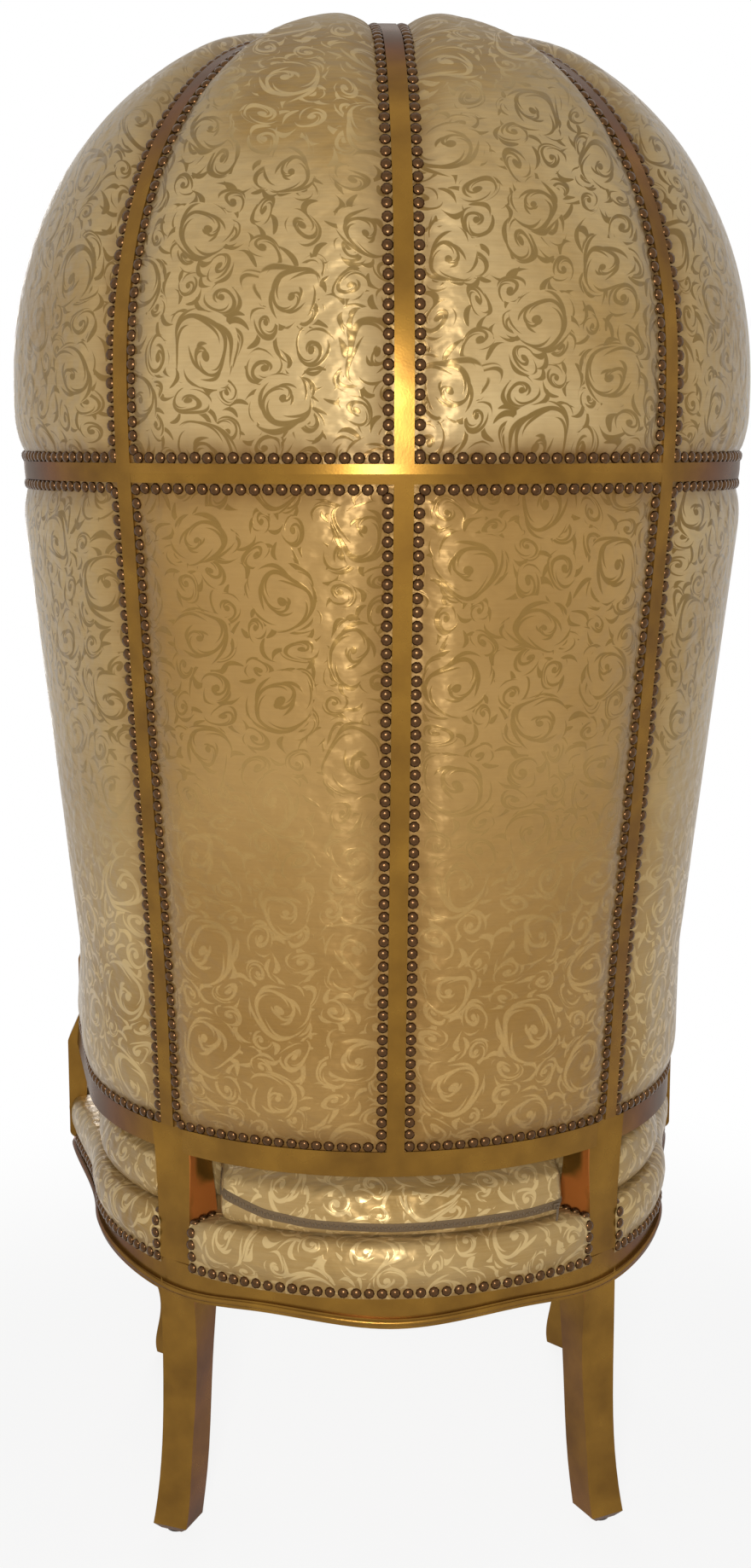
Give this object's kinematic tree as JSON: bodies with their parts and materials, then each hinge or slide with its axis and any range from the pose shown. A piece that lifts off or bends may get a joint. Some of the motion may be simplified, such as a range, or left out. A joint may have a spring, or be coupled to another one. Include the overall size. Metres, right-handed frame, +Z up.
{
  "type": "hall porter chair",
  "caption": "Hooded hall porter chair: domed upholstered shell on a gilt wood frame with posts, hoops and ribs, cabriole front legs and a loose seat cushion.",
  "frame": {"origin": "on the floor, below the middle of the chair's overall width and depth", "axes": "+Z up, the open front of the hood faces -Y, +X is to the sitter's left hand"},
  "size_m": [0.814, 0.7659, 1.672],
  "materials": {
    "gilt_wood": "carved wood with aged gilding, satin",
    "gold_damask": "woven damask over padding",
    "cushion_damask": "woven damask cover on a feather-wrapped cushion",
    "beech": "bare wood",
    "jute_web": "woven webbing",
    "nail_brass": "antiqued dark brass nail heads",
    "nylon_glide": "matte"
  },
  "bodies": {
    "chair": {"arm_pad_left": "gold_damask", "arm_pad_right": "gold_damask", "arm_support_left": "gilt_wood", "arm_support_right": "gilt_wood", "back_lining": "gold_damask", "back_panel_left": "gold_damask", "back_panel_right": "gold_damask", "centre_rib_lower": "gilt_wood", "centre_rib_upper": "gilt_wood", "corner_brace_left": "beech", "corner_brace_right": "beech", "crest": "gilt_wood", "crown_boss": "gilt_wood", "dome_panel_left": "gold_damask", "dome_panel_right": "gold_damask", "dome_rib_left": "gilt_wood", "dome_rib_right": "gilt_wood", "front_leg_left": "gilt_wood", "front_leg_right": "gilt_wood", "glides_left": "nylon_glide", "glides_right": "nylon_glide", "hood_lining_left": "gold_damask", "hood_lining_rear": "gold_damask", "hood_lining_right": "gold_damask", "hood_rim": "gilt_wood", "hood_side_panel_left": "gold_damask", "hood_side_panel_right": "gold_damask", "lower_hoop_left": "gilt_wood", "lower_hoop_rear": "gilt_wood", "lower_hoop_right": "gilt_wood", "mid_hoop_left": "gilt_wood", "mid_hoop_rear": "gilt_wood", "mid_hoop_right": "gilt_wood", "rear_stile_left": "gilt_wood", "rear_stile_right": "gilt_wood", "seat_band_front": "gold_damask", "seat_band_left": "gold_damask", "seat_band_rear": "gold_damask", "seat_band_right": "gold_damask", "seat_deck": "gold_damask", "seat_rail_front": "gilt_wood", "seat_rail_left": "gilt_wood", "seat_rail_rear": "gilt_wood", "seat_rail_right": "gilt_wood", "side_lining_left": "gold_damask", "side_lining_right": "gold_damask", "side_panel_left": "gold_damask", "side_panel_right": "gold_damask", "webbing": "jute_web", "wing_rim_left": "gilt_wood", "wing_rim_right": "gilt_wood"},
    "cushion": {"seat_cushion": "cushion_damask"}
  },
  "joints": [
    {"name": "cushion_slide", "type": "slide", "parent": "chair", "child": "cushion", "axis": [0, -1, 0], "range_m": [0, 0.3]}
  ]
}
